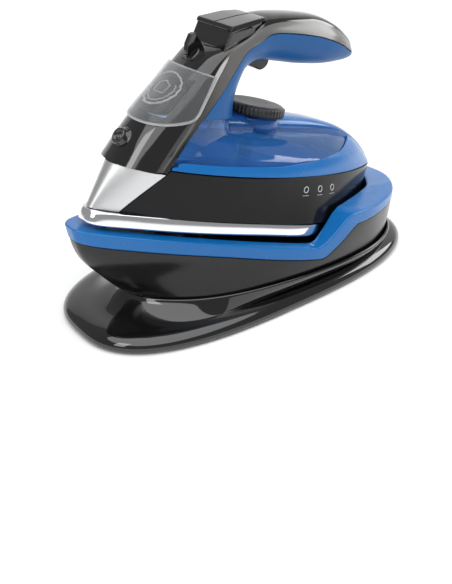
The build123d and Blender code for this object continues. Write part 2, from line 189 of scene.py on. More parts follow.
def curve(points, per_span=8):
    """A smooth run through points of any dimension, each span cut into equal steps."""
    first = [2 * a - b for a, b in zip(points[0], points[1])]
    last = [2 * a - b for a, b in zip(points[-1], points[-2])]
    line = [first, *points, last]
    run = []
    for a, b, c, d in zip(line, line[1:], line[2:], line[3:]):
        for step in range(per_span):
            t = step / per_span
            run.append(tuple(0.5 * (2 * q + (r - p) * t + (2 * p - 5 * q + 4 * r - s) * t * t
                                    + (3 * q - p - 3 * r + s) * t ** 3) for p, q, r, s in zip(a, b, c, d)))
    return run + [tuple(points[-1])]


def even(points, count):
    """A run of points laid out again at even spacing."""
    lengths = [0.0]
    for a, b in zip(points, points[1:]):
        lengths.append(lengths[-1] + math.dist(a, b))
    result, k = [], 0
    for step in range(count):
        goal = lengths[-1] * step / (count - 1)
        while k < len(points) - 2 and lengths[k + 1] < goal:
            k += 1
        t = (goal - lengths[k]) / max(1e-9, lengths[k + 1] - lengths[k])
        result.append(tuple(p + (q - p) * t for p, q in zip(points[k], points[k + 1])))
    return result


def rounded_half(points, per_span=8):
    """Half an outline, nose to heel, that meets the long axis squarely at both ends."""
    whole = [(points[1][0], -points[1][1])] + list(points) + [(points[-2][0], -points[-2][1])]
    run = curve(whole, per_span)
    return [(x, max(0.0, y)) for x, y in run[per_span:-per_span]]


def loop(half):
    """The closed outline from its half."""
    return half + [(x, -y) for x, y in reversed(half[1:-1])]


def inset(points, distance):
    middle, reach = (points[0][0] + points[-1][0]) / 2, (points[-1][0] - points[0][0]) / 2
    wide = max(y for x, y in points)
    along, across = (reach - distance) / reach, (wide - distance) / wide
    return [(middle + (x - middle) * along, y * across) for x, y in points]


def between(low, high, share):
    return [tuple(a + (b - a) * share for a, b in zip(p, q)) for p, q in zip(low, high)]


def grid(name, rows, closed=False, fill=(False, False), paint=None):
    """A mesh piece from rows of scene points, closed round or open; paint picks a column's material."""
    mesh, bm = bpy.data.meshes.new(name), bmesh.new()
    made = [[bm.verts.new(p) for p in row] for row in rows]
    for low, high in zip(made, made[1:]):
        count = len(low)
        for i in range(count if closed else count - 1):
            j = (i + 1) % count
            corners = []
            for vert in (low[i], low[j], high[j], high[i]):
                if not corners or (vert.co - corners[-1].co).length > 1e-7:
                    corners.append(vert)
            if len(corners) > 2 and (corners[0].co - corners[-1].co).length > 1e-7:
                bm.faces.new(corners).material_index = paint(i, count) if paint else 0
    for end, wanted in zip((made[0], made[-1]), fill):
        if wanted:
            bm.faces.new(end)
    bmesh.ops.remove_doubles(bm, verts=bm.verts, dist=2e-6)
    bmesh.ops.recalc_face_normals(bm, faces=bm.faces)
    bm.to_mesh(mesh)
    bm.free()
    for face in mesh.polygons:
        face.use_smooth = True
    piece = bpy.data.objects.new(name, mesh)
    bpy.context.collection.objects.link(piece)
    return piece


def modify(piece, kind, **settings):
    made = piece.modifiers.new(kind.lower(), kind)
    for key, value in settings.items():
        setattr(made, key, value)
    return piece


def soft_edges(piece, width, angle=32, segments=3):
    """Rounds every edge sharper than an angle and keeps the flats flat."""
    modify(piece, "BEVEL", width=width / 1000, segments=segments, limit_method="ANGLE",
           angle_limit=math.radians(angle), harden_normals=True)
    for face in piece.data.polygons:
        face.use_smooth = True
    return modify(piece, "WEIGHTED_NORMAL", keep_sharp=True)


def seat(piece, material, body, nodes=()):
    """Gives a piece its material, the body it moves with and the nodes that it stands for."""
    piece.data.materials.append(material)
    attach(piece, body)
    if nodes:
        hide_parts(*nodes)
    return piece


def dress(material, *names):
    """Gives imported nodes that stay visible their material."""
    for name in names:
        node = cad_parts[name]
        node.data.materials.clear()
        node.data.materials.append(material)


BOWL_FOOT = [(-110, 0), (-108, 7), (-100, 23), (-77, 42), (-48, 54.5), (-14, 62), (22, 66), (56, 66),
             (86, 61), (112, 47), (130, 22), (135, 0)]
COLUMNS = 97


def superellipse(front, rear, half, power=2.76):
    middle, reach = (front + rear) / 2, (rear - front) / 2
    points = []
    for step in range(73):
        turn = math.pi * step / 72
        c, s = math.cos(turn), max(0.0, math.sin(turn))
        points.append((middle - reach * math.copysign(abs(c) ** (2 / power), c), half * s ** (2 / power)))
    return points


FOOT_REACH, FOOT_HALF = 150, 71.3
FOOT_EDGE = ((4, 4.2), (1.6, 4), (1.5, 1.6), (2.2, 0.5), (3.6, 0), (5.4, 0.1), (7.4, 0.9), (9.2, 2.4),
             (10.7, 4.9), (11.7, 8.2), (12.3, 12.5))
SHELF_Z, HILL_RISE = 12.3, 9.6


def foot_row(half, z):
    return [Vector((x, y, z)) / 1000 for x, y in loop(half)]


foot_rows = []
for z, d in FOOT_EDGE:
    half = even(superellipse(d - FOOT_REACH, FOOT_REACH - d, FOOT_HALF - d), COLUMNS)
    foot_rows.append(foot_row(half, z))
shelf = even(superellipse(-137.5, 137.5, 58.8), COLUMNS)
brow = even(inset(rounded_half(BOWL_FOOT), -3.4), COLUMNS)
for step in range(1, 9):
    share = step / 8
    foot_rows.append(foot_row(between(shelf, brow, share), SHELF_Z + HILL_RISE * share ** 2.4))
for z, out in ((23.0, 3.1), (23.7, 2.4), (23.7, 1.4), (22.6, 0.8), (20.5, 0.6)):
    foot_rows.append(foot_row(even(inset(rounded_half(BOWL_FOOT), -out), COLUMNS), z))
foot = grid("foot", foot_rows, closed=True)
modify(foot, "SUBSURF", levels=1, render_levels=1)
seat(foot, BLACK, "base", ["foot_shell"])
dress(SATIN, "foot_cover")
dress(RUBBER, "rubber_feet", "cord_gland")
dress(ZINC, "foot_screws", "ballast_plate")

# ---------------------------------------------------------------- cradle bowl
# Boat-shaped gloss black moulding that stands in the foot's collar, with an overhanging bow.
# Its upper edge follows the blue rim; a shallow ledge runs round the lower bow.
BOWL = {
    20: BOWL_FOOT,
    42: [(-129.5, 0), (-127, 8), (-112, 21), (-82, 37), (-52, 50), (-16, 62.5), (22, 70), (54, 69.5),
         (86, 62), (118, 46), (142, 20), (148.6, 0)],
    62: [(-144, 0), (-141.8, 8), (-129, 19), (-97, 35), (-58, 50), (-18, 62.5), (22, 70.5), (56, 69.5),
         (88, 62), (120, 46), (143.6, 20), (149.9, 0)],
    90: [(-150.8, 0), (-149, 8.5), (-138, 18), (-106, 33.5), (-62, 50.5), (-19, 62.5), (22, 70.5),
         (57, 69.5), (89, 62), (121, 46), (144.8, 20), (151, 0)]}
RIM_TOP = [(-170, -3.2), (17.5, -3.2), (21.5, -1.2), (38, 18.5), (44, 22.8), (130, 33.5)]
RIM_LOW = [(-170, -13.4), (24.5, -13.4), (28.5, -11.2), (47, 9.6), (53, 14), (130, 26.5)]
hull = {z: rounded_half(points, 12) for z, points in BOWL.items()}
SIDE = len(hull[20])


def hull_point(column, z):
    """Where the bowl's side stands at a height, on one of its columns."""
    levels = sorted(hull)
    rows = [(level, *hull[level][column]) for level in levels]
    run = curve(rows, 12)
    for a, b in zip(run, run[1:]):
        if z <= b[0]:
            t = (z - a[0]) / (b[0] - a[0])
            return a[1] + (b[1] - a[1]) * t, a[2] + (b[2] - a[2]) * t
    return run[-1][1], run[-1][2]


def height_on(line, x):
    for (xa, ya), (xb, yb) in zip(line, line[1:]):
        if x <= xb:
            return ya + (yb - ya) * (x - xa) / (xb - xa)
    return line[-1][1]


def hull_cut(column, line):
    """The height at which a column of the bowl meets a side-view line of the iron's frame."""
    low, high = 20.0, 92.0
    for _ in range(26):
        z = (low + high) / 2
        x, y = hull_point(column, z)
        u = x * math.cos(TILT) - (z - DOCK_Z) * math.sin(TILT)
        w = x * math.sin(TILT) + (z - DOCK_Z) * math.cos(TILT)
        low, high = (z, high) if w < height_on(line, u) else (low, z)
    return z


def both_sides(half_row):
    return half_row + [Vector((p.x, -p.y, p.z)) for p in reversed(half_row[1:-1])]


def hull_row(column_heights, inward=0.0):
    row = []
    for column, z in enumerate(column_heights):
        x, y = hull_point(column, z)
        row.append(Vector((x * (1 - inward / 145), y * (1 - inward / 68), z)) / 1000)
    return both_sides(row)


low_line = [hull_cut(column, RIM_LOW) for column in range(SIDE)]
top_line = [hull_cut(column, RIM_TOP) for column in range(SIDE)]
bowl_rows = [hull_row([20.2] * SIDE, 3), hull_row([20.2] * SIDE)]
for step in range(1, 15):
    share = step / 14
    bowl_rows.append(hull_row([20.2 + (z - 20.2) * share for z in low_line], 0.5 if step == 14 else 0.35))
bowl_rows.append(hull_row(low_line, 3.0))
bowl_rows.append(hull_row([20.2 + (z - 20.2) * 0.5 for z in low_line], 3.4))
bowl = grid("cradle_body", bowl_rows, closed=True)
BOWL_BLACK = plastic("bowl_black", (0.0045, 0.0045, 0.005), 0.22, 0.08, ior=1.42)
seat(soft_edges(bowl, 0.5, 50), BOWL_BLACK, "base", ["cradle_bowl"])

# ---------------------------------------------------------------- cradle rim
# Mid-blue gloss moulding snapped over the bowl's edge: a flat ledge that kinks up to a raised rear.
# Round the well it turns down to the dark liner that the iron lies in.
BLUE = plastic("blue_gloss", (0.004, 0.125, 0.385), 0.24, 0.12, drift=0.06, ior=1.4)
WELL = [(-131, 0), (-127, 8.5), (-110, 17), (-80, 30), (-46, 42.5), (-15, 51.5), (18, 58.2), (40, 53.8),
        (62, 45.6), (84, 36.2), (104, 25), (120, 0)]
well_half = rounded_half(WELL, 12)


def well_row(line, lower=0.0, out=0.0):
    row = []
    for u, v in inset(well_half, -out):
        flare = 1 + 0.0012 * max(0, height_on(line, u) - 18)
        row.append(spot(u * flare, v * flare, height_on(line, u) - lower))
    return both_sides(row)


rim_rows = [hull_row(low_line, 2.6), hull_row(low_line), hull_row(top_line, 0.2),
            well_row(RIM_TOP), well_row(RIM_TOP, 3.8), well_row(RIM_TOP, 8.5, 1.0)]
rim = grid("blue_rim", rim_rows, closed=True)
seat(soft_edges(rim, 1.3, 34, 4), BLUE, "base", ["cradle_rim"])
dress(SATIN, "cradle_liner", "contact_block")
dress(RUBBER, "rest_pads")

# ---------------------------------------------------------------- docking contacts
# Sprung brass blades on a moulded block behind the iron's heel, wired to a small board in the foot.
BRASS = metal("contact_brass", (0.8, 0.6, 0.3), 0.22)
BOARD = plastic("circuit_board", (0.01, 0.09, 0.03), 0.3, 0.2)
dress(BRASS, "contact_blades", "heel_contacts", "thermostat")
dress(BOARD, "contact_board")

# ---------------------------------------------------------------- soleplate
# Polished stainless plate: flat face with steam holes, thin rounded edge, bevel that rises to the skirt.
# The cast heater with its embedded element is screwed down inside it.
STEEL = metal("polished_steel", (0.86, 0.87, 0.89), 0.13, (1, 6, 1), 500, 0.05, 0.05)
SOLE = [(-144.5, 0), (-143, 7), (-136, 12.8), (-115, 21.3), (-86, 32), (-55, 41), (-20, 49), (15, 55.6),
        (38, 52.3), (62, 43.9), (90, 28), (104, 0)]
sole_half = rounded_half(SOLE, 10)


def level(half, w, d=0.0):
    return both_sides([spot(u, v, w) for u, v in inset(half, d)])


SOLE_EDGE = ((8.6, 7), (9.9, 6), (9.9, 3.8), (9.5, 2.4), (8.5, 1.5), (7, 0.9), (5, 0.45), (3, 0.2),
             (1.5, 0.1), (0.6, 0.5), (0.1, 1.5), (0, 3))
sole_rows = [level(sole_half, w, d) for w, d in SOLE_EDGE]
sole = grid("sole", sole_rows, closed=True, fill=(False, True))
seat(soft_edges(sole, 0.25, 30, 2), STEEL, "iron", ["soleplate"])
CAST = metal("die_casting", (0.5, 0.5, 0.5), 0.5, depth=0.4)
SCALED = metal("oxidised_sheath", (0.3, 0.28, 0.26), 0.45)
dress(CAST, "heater_casting")
dress(SCALED, "heating_element")
dress(ZINC, "chamber_cover", "dial_shaft", "trigger_pin")

# ---------------------------------------------------------------- skirt and nose cover
# Gloss black skirt round the heater; over its nose a brushed aluminium cover, cut on the neck's slant.
ALUMINIUM = metal("brushed_aluminium", (0.66, 0.665, 0.67), 0.38, (0.05, 1, 14), 700, 0.22, 0.1)
SKIRT_LOW = [(-140, 0), (-136, 4.5), (-114, 15.5), (-86, 29), (-55, 39), (-20, 47.5), (15, 54),
             (38, 51.3), (62, 43.3), (92, 28.5), (113, 0)]
SKIRT_HIGH = [(-129, 0), (-124, 10), (-108, 26), (-80, 38), (-45, 46), (-10, 48.5), (25, 45.5),
              (60, 38), (92, 26), (113, 13), (119, 0)]
SEAM = [(14, -121), (42, -103), (70, -87), (98, -68)]
skirt_low, skirt_high = rounded_half(SKIRT_LOW, 10), rounded_half(SKIRT_HIGH, 10)


def split(half, u_cut, front):
    """The part of a half outline in front of or behind a station, cut exactly at it."""
    kept = []
    for (xa, ya), (xb, yb) in zip(half, half[1:]):
        if (xa <= u_cut) == front:
            kept.append((xa, ya))
        if (xa <= u_cut) != (xb <= u_cut):
            t = (u_cut - xa) / (xb - xa)
            kept.append((u_cut, ya + (yb - ya) * t))
    if not front:
        kept.append(half[-1])
    return kept


def both_hands(run):
    """A row of the iron's own points joined to its mirror image at the run's end."""
    return [spot(*p) for p in run] + [spot(u, -v, w) for u, v, w in reversed(run[:-1])]


def girdle(half, w, u_cut, front, count):
    """One open row round the nose or round the heel, from cut to cut."""
    run = even(split(half, u_cut, front), count)
    if front:
        run = run[::-1]
    return both_hands([(u, v, w) for u, v in run])


def cut_at(w):
    return height_on([(a, b) for a, b in SEAM], w)


cover_rows, skirt_rows = [], []
for step in range(13):
    w = 10.2 + 31.8 * step / 12
    half = between(skirt_low, skirt_high, (w - 10) / 35)
    cover_rows.append(girdle(inset(half, -0.3), w, cut_at(w) - 0.25, True, 33))
for step in range(15):
    w = 10.2 + 34.8 * step / 14
    half = between(skirt_low, skirt_high, (w - 10) / 35)
    skirt_rows.append(girdle(half, w, cut_at(min(w, 42)) + 0.25 if w < 42.5 else cut_at(w), False, 70))
cover = modify(grid("brushed_cover", cover_rows), "SOLIDIFY", thickness=-0.0016, offset=-1)
seat(soft_edges(cover, 0.3, 40), ALUMINIUM, "iron", ["nose_cover"])
skirt = modify(grid("black_skirt", skirt_rows), "SOLIDIFY", thickness=-0.002, offset=-1)
SKIRT_BLACK = plastic("skirt_black", (0.0045, 0.0045, 0.0055), 0.16, 0.0, ior=1.3)
seat(soft_edges(skirt, 0.35, 40), SKIRT_BLACK, "iron", ["skirt"])
dress(SATIN, "heel_cover")

# ---------------------------------------------------------------- tank band and tank
# The water tank: an opaque blue band at the bottom, welded to a blue see-through shell with a fat ridge.
TANK_MID = [(-122, 0), (-117, 9.5), (-102, 24), (-78, 35), (-45, 42), (-10, 44), (25, 41), (58, 33.5),
            (84, 22.5), (101, 11), (106, 0)]
TANK_HIGH = [(-104, 0), (-101.5, 6), (-92, 12), (-75, 16), (-45, 18), (-10, 18.5), (20, 17), (42, 14),
             (60, 10.5), (73, 6), (78, 0)]
BAND_TOP = [(-150, 49.6), (-20, 52), (60, 58.5), (130, 67)]
tank_mid, tank_high = rounded_half(TANK_MID, 10), rounded_half(TANK_HIGH, 10)


def see_through(name, tint, edge, gloss=0.04, veil=0.2, body=(0.02, 0.1, 0.4)):
    """Clear moulding: tinted see-through in the middle, reflecting towards its edges, with a faint veil."""
    s = Shader(name)
    slow = s.noise(18, detail=2)
    tinted = s.mix(slow, tuple(c * 0.93 for c in tint), tint)
    clear = s.node("ShaderNodeBsdfTransparent", None, {"Color": tinted})
    normal = s.bump(s.noise(90), 0.03, 0.0004)
    skin = s.node("ShaderNodeBsdfPrincipled", None, {
        "Base Color": s.mix(slow, tuple(c * 0.85 for c in body), body),
        "Roughness": gloss * 0.7 + slow * gloss * 0.6, "Normal": normal,
        "Specular IOR Level": 0.6, "Coat Weight": 0.6})
    facing = s.node("ShaderNodeLayerWeight", None, {"Blend": edge, "Normal": normal}, "Facing")
    share = (facing ** 1.6) * (0.9 - veil) + veil
    blend = s.node("ShaderNodeMixShader", None, {0: share, 1: clear, 2: skin})
    s.tree.links.new(blend.socket, s.output.inputs[0])
    return s.material


TANK = see_through("tank_clear", (0.36, 0.6, 0.92), 0.45, 0.06, 0.36, (0.03, 0.16, 0.45))


def tank_side(column, w):
    """The tank's side on one column at a height between its foot and its shoulder."""
    a, b, c = skirt_high[column], tank_mid[column], tank_high[column]
    if w <= 56:
        t = (w - 45) / 11
        bulge = 0.6 * math.sin(math.pi * t)
        return a[0] + (b[0] - a[0]) * t, a[1] + (b[1] - a[1]) * t + bulge * (a[1] / 48)
    t = min(1.0, (w - 56) / 13)
    ease = 1 - math.sqrt(max(0.0, 1 - t * t)) * 0.35 - 0.65 * (1 - t)
    return b[0] + (c[0] - b[0]) * ease, b[1] + (c[1] - b[1]) * ease


band_rows, tank_rows = [], []
for step in range(9):
    half = []
    for column, (u0, v0) in enumerate(skirt_high):
        w = 45.15 + (height_on(BAND_TOP, u0) - 45.15) * step / 8
        half.append((*tank_side(column, w), w))
    behind = even([p for p in half if p[0] > -103 + step], 70)
    band_rows.append(both_hands(behind))
for step in range(19):
    row = []
    for column, (u0, v0) in enumerate(skirt_high):
        low = height_on(BAND_TOP, u0) + 0.15
        w = low + (69 - low) * step / 18
        row.append(spot(*tank_side(column, w), w))
    tank_rows.append(both_sides(row))
tank_rows.append(level(tank_high, 69.9, 2.0))
tank_rows.append(level(tank_high, 70.2, 5.0))
band = modify(grid("blue_band", band_rows), "SOLIDIFY", thickness=-0.002, offset=-1)
seat(soft_edges(band, 0.3, 40), BLUE, "iron", ["tank_band"])
tank = grid("tank_sides", tank_rows, closed=True)
seat(tank, TANK, "iron", ["tank_shell"])
RIDGE = [(-46, 79, 17), (-12, 79.6, 16.8), (20, 80.2, 16), (48, 78.4, 14.5), (76, 73.2, 12),
         (98, 64.5, 10.3), (112, 55, 9.4), (119, 46, 8.8)]
ridge_rows = []
for u, w, half in curve(RIDGE, 6):
    row = []
    base = 45.2 if u > 100 else 45.2 + (66 - 45.2) * min(1, (100 - u) / 30)
    for step in range(25):
        turn = math.pi * step / 24
        c, s = math.cos(turn), math.sin(turn)
        row.append(spot(u, half * math.copysign(abs(c) ** 0.62, c), base + (w - base) * s ** 0.5))
    ridge_rows.append(row)
ridge = grid("tank_ridge", ridge_rows)
seat(ridge, TANK, "iron", ())
INNER_BLUE = plastic("tank_inside", (0.012, 0.10, 0.36), 0.3, 0.0, drift=0.15)
dress(INNER_BLUE, "tank_floor")

# ---------------------------------------------------------------- neck and handle
# One bent shell: gloss black over front and sides, blue behind and below, parted by a fine black seam.
# Each row runs front centre, edge, seam, back centre, from the tank up and over to the open rear tip.
FRONT = [(-130.2, 42.4), (-121, 60), (-109.6, 78), (-95, 95), (-83.2, 110), (-72, 122), (-51, 133.5),
         (-27, 150.6), (15, 156.2), (40, 153), (60, 145), (70, 138.4), (73.4, 133.4)]
EDGE = [(-106, 42.4, 26.3), (-96, 60, 25.5), (-87, 76, 24.8), (-79.5, 95, 23.4), (-73, 111, 21.8),
        (-64, 124, 20.4), (-48, 134.5, 19), (-26, 147, 15.3), (15, 152.6, 13.5), (40, 149.4, 12.3),
        (58.5, 142.2, 9), (69, 136.6, 4.6), (73.4, 133, 0.3)]
SEAM_SIDE = [(-102.6, 42.4, 28), (-93, 60, 27.6), (-81.8, 78, 27.2), (-70, 95, 25.8), (-60.5, 111, 24.3),
             (-50, 126.5, 21.4), (-38, 134.5, 19.9), (-24, 141.8, 19.3), (15, 143.4, 19.5), (40, 140.4, 18.4),
             (59, 135.4, 13.4), (69.3, 132.6, 6.8), (73.4, 132.6, 0.3)]
BACK = [(-30, 44), (-34, 60), (-40, 78), (-44, 90), (-45, 102), (-41, 112), (-30, 119.4), (-11, 121.6),
        (15, 121.5), (38, 122.9), (56, 126.2), (68, 129.6), (73.2, 132.2)]
PER = 8
front, edge, seam, back = (curve(points, PER) for points in (FRONT, EDGE, SEAM_SIDE, BACK))


def bezier(a, b, c, d, count):
    run = []
    for step in range(count):
        t = step / (count - 1)
        run.append(tuple((1 - t) ** 3 * p + 3 * t * (1 - t) ** 2 * q + 3 * t * t * (1 - t) * r + t ** 3 * s
                         for p, q, r, s in zip(a, b, c, d)))
    return run


def front_half(k, count=12):
    """From the front's centre out to the edge."""
    (fu, fw), (eu, ew, ev) = front[k], edge[k]
    return bezier((fu, 0, fw), (fu, ev * 0.62, fw),
                  (fu + (eu - fu) * 0.45, ev * 0.96, fw + (ew - fw) * 0.45), (eu, ev, ew), count)


def side_half(k, count=6):
    (eu, ew, ev), (su, sw, sv) = edge[k], seam[k]
    return [(eu + (su - eu) * t, ev + (sv - ev) * t + 0.5 * math.sin(math.pi * t), ew + (sw - ew) * t)
            for t in (step / (count - 1) for step in range(count))]


def back_half(k, count=14):
    (su, sw, sv), (bu, bw) = seam[k], back[k]
    return bezier((su, sv, sw), (su + (bu - su) * 0.5, sv * 0.98, sw + (bw - sw) * 0.5),
                  (bu, sv * 0.62, bw), (bu, 0, bw), count)


def mirrored(run):
    """The far half joined to the near one."""
    return [spot(u, v, w) for u, v, w in reversed(run)] + [spot(u, -v, w) for u, v, w in run[1:]]


black_rows, grip_rows, flare_rows = [], [], []
for k in range(len(front)):
    black_rows.append(mirrored(front_half(k) + side_half(k)[1:]))
FLARE_TOP = 17
for k in range(FLARE_TOP, len(front)):
    grip_rows.append(both_hands(back_half(k)))


def make_painted_highlight_side():
    """Satin black side with a painted grey highlight on its upper part, fading to black lower down towards
    the foot of the neck.
    """
    s = Shader("satin_side_painted_highlight")
    parts = s.tree.nodes.new("ShaderNodeSeparateXYZ")
    s.tree.links.new(s.place().socket, parts.inputs[0])
    # Painted highlight: the side is grey above a height in the scene and black below it.
    painted_highlight_share = ((Maths(s.tree, parts.outputs[2]) - 0.135) / 0.04).largest(0.0).smallest(1.0)
    slow = s.noise(30, detail=2)
    return s.surface({
        "Base Color": s.mix(painted_highlight_share * 0.88 + slow * 0.12, (0.006, 0.006, 0.006), (0.115, 0.112, 0.108)),
        "Roughness": slow * 0.08 + 0.24, "Normal": s.bump(s.noise(900), 0.03, 0.0002),
        "Coat Weight": 0.25, "Coat Roughness": 0.1})


PAINTED_HIGHLIGHT_SIDE = make_painted_highlight_side()
# The side columns by the seam take the satin side material with its painted grey highlight.
neck_piece = grid("black_neck_and_handle", black_rows, paint=lambda i, count: int(i < 5 or i >= count - 6))
modify(neck_piece, "SOLIDIFY", thickness=-0.0018, offset=-1)


def slab(name, side_view, wide, low=None):
    """A piece cut from a side view: wide gives the half width at a station, low its inner face."""
    mesh, bm = bpy.data.meshes.new(name), bmesh.new()
    outer = [bm.verts.new(spot(u, -wide(u), w)) for u, w in side_view]
    inner = [bm.verts.new(spot(u, wide(u) if low is None else -low, w)) for u, w in side_view]
    bm.faces.new(outer)
    bm.faces.new(inner[::-1])
    for i in range(len(side_view)):
        j = (i + 1) % len(side_view)
        bm.faces.new((outer[i], inner[i], inner[j], outer[j]))
    bmesh.ops.recalc_face_normals(bm, faces=bm.faces)
    bm.to_mesh(mesh)
    bm.free()
    piece = bpy.data.objects.new(name, mesh)
    bpy.context.collection.objects.link(piece)
    return piece


def carve(piece, cutter):
    """Takes a cutter out of a piece and throws the cutter away."""
    modify(piece, "BOOLEAN", operation="DIFFERENCE", object=cutter, solver="EXACT")
    bpy.context.view_layer.update()
    made = bpy.data.meshes.new_from_object(piece.evaluated_get(bpy.context.evaluated_depsgraph_get()))
    piece.modifiers.clear()
    piece.data = made
    bpy.data.objects.remove(cutter)
    return piece


neck_piece.data.materials.append(BLACK)
neck_piece.data.materials.append(PAINTED_HIGHLIGHT_SIDE)
cutter = slab("cutter", [(-140, 77.5), (-92, 77.5), (-78, 104), (-140, 104)], lambda u: 18.5)
carve(neck_piece, cutter)
carve(neck_piece, slab("cutter", [(-66, 136), (-46, 141.8), (-31.4, 145.4), (-31.4, 160), (-66, 160)],
                       lambda u: height_on([(-70, 20.2), (-48, 19.7), (-32, 14.4)], u) + 0.2))
soft_edges(neck_piece, 0.3, 50, 2)
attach(neck_piece, "iron")
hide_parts("neck_shell", "handle_top")

GRIP = plastic("blue_grip", (0.002, 0.085, 0.27), 0.36, 0.0, drift=0.08, grain=0.02, ior=1.33)
grip = modify(grid("blue_grip", grip_rows), "SOLIDIFY", thickness=-0.0018, offset=-1)
seat(soft_edges(grip, 0.3, 50, 2), GRIP, "iron", ["grip_shell"])

for k in range(5, FLARE_TOP + 1):
    run, out = back_half(k), 6.5 * ((FLARE_TOP - k) / (FLARE_TOP - 5)) ** 2
    centre = (front[k][0] + back[k][0]) / 2
    swollen = []
    for u, v, w in run:
        reach = max(1e-6, math.hypot(u - centre, v))
        swollen.append((u + (u - centre) / reach * out, v + v / reach * out, w))
    flare_rows.append(both_hands(swollen))
seat(grid("tank_neck_flare", flare_rows), TANK, "iron", ())


def tube(name, points, radius, material, body, closed=False, sides=8):
    """A round bead along scene points."""
    rows, count = [], len(points)
    for i, point in enumerate(points):
        ahead = points[(i + 1) % count] if closed or i < count - 1 else point
        behind = points[i - 1] if closed or i > 0 else point
        run = (ahead - behind).normalized()
        across = run.cross(Vector((0.13, 0.2, 0.97))).normalized()
        over = run.cross(across)
        turns = [2 * math.pi * k / sides for k in range(sides)]
        rows.append([point + (across * math.cos(t) + over * math.sin(t)) * radius / 1000 for t in turns])
    if closed:
        rows.append(rows[0])
    return seat(grid(name, rows, closed=True, fill=(not closed, not closed)), material, body, ())


for side, name in ((-1, "near"), (1, "far")):
    line = [spot(u, side * (v + 0.12), w) for u, w, v in seam[:-1]]
    tube("seam_bead_" + name, line, 0.5, SATIN, "iron")
    crease = [spot(u, side * (v + 0.05), w) for u, w, v in edge[52:-2]]
    tube("crease_bead_" + name, crease, 0.4, SATIN, "iron")
tube("tank_seam_bead", both_hands(back_half(FLARE_TOP)), 0.4, INNER_BLUE, "iron")

# ---------------------------------------------------------------- head and pump buttons
# Faceted gloss black head at the front of the handle; two pump buttons cap it, parted down the middle.
def head_half(u):
    return height_on([(-70, 19.8), (-48, 19.3), (-32, 14)], u)


HEAD_VIEW = [(-68.4, 121), (-64.2, 139.7), (-46, 145.4), (-34, 148), (-34, 138), (-50, 121)]
head = slab("head", HEAD_VIEW, head_half)
seat(soft_edges(head, 0.9, 25), BLACK, "iron", ["head_block"])
FACET = plastic("dark_facet", (0.028, 0.028, 0.029), 0.3, 0.1, grain=0.06)
FACET_VIEW = [(-65.2, 128.6), (-63, 138.4), (-44.6, 144.2), (-41.6, 142.4), (-43.6, 139.4)]
for side, name in ((1, "near"), (-1, "far")):
    facet = slab("head_facet_" + name, FACET_VIEW, lambda u: side * (head_half(u) + 0.25), low=side * 15)
    seat(soft_edges(facet, 0.25, 25, 2), FACET, "iron", ())
BUTTON_VIEW = [(-65.1, 139.4), (-64.7, 142.2), (-63.8, 143), (-46, 148.7), (-36, 151.2), (-32.6, 151.4),
               (-32.2, 148.4), (-46, 145)]
for name, side in (("spray_button", -1), ("boost_button", 1)):
    button = slab("cap_" + name, BUTTON_VIEW, lambda u: side * (head_half(u) + 0.35), low=side * 0.3)
    seat(soft_edges(button, 0.6, 25), BLACK, name, [name])

# ---------------------------------------------------------------- trigger
# Satin black steam trigger under the front of the handle, on a pin inside the grip.
trigger_view = curve([(-47, 119), (-43.5, 113.6), (-36, 115.6), (-27, 115), (-19, 112.9), (-13.8, 116.6),
                      (-12.6, 123)], 5) + [(-15, 127), (-44, 127)]
trigger = slab("trigger_lever", trigger_view, lambda u: 6.6)
seat(soft_edges(trigger, 1.8, 40, 4), SATIN, "trigger", ["trigger"])

# ---------------------------------------------------------------- filler cup and clear door
# Dark grey cup behind a clear moulded door, which hinges on two side arms up by the head.
# The door has a thick bright lip round its lower edge and a raised ring with a tap sign.
FUNNEL = plastic("funnel_grey", (0.05, 0.05, 0.052), 0.4, 0.0)
dress(FUNNEL, "pumps")
CLEAR = see_through("door_clear", (0.86, 0.87, 0.88), 0.35, 0.05, 0.10, (0.5, 0.5, 0.51))
LIP = see_through("door_lip", (0.9, 0.9, 0.9), 0.5, 0.1, 0.62, (0.72, 0.73, 0.74))


def outward(u, v, w, centre, distance):
    reach = max(1e-6, math.hypot(u - centre, v))
    return u + (u - centre) / reach * distance, v + v / reach * distance, w + 0.3 * distance


def skin(share, w, out):
    """A point of the neck's skin: share runs from the front's centre (0) past its edge (1) to the side."""
    last = None
    for k in range(len(front)):
        run = front_half(k, 21) if share <= 1 else side_half(k, 21)
        place = (share if share <= 1 else share - 1) * 20
        i, t = min(19, int(place)), place - min(19, int(place))
        point = tuple(p + (q - p) * t for p, q in zip(run[i], run[i + 1]))
        if last and point[2] >= w:
            t = (w - last[2]) / max(1e-6, point[2] - last[2])
            found = [a + (b - a) * t for a, b in zip(last, point)]
            return outward(*found, (front[k][0] + back[k][0]) / 2, out)
        last = point
    return last


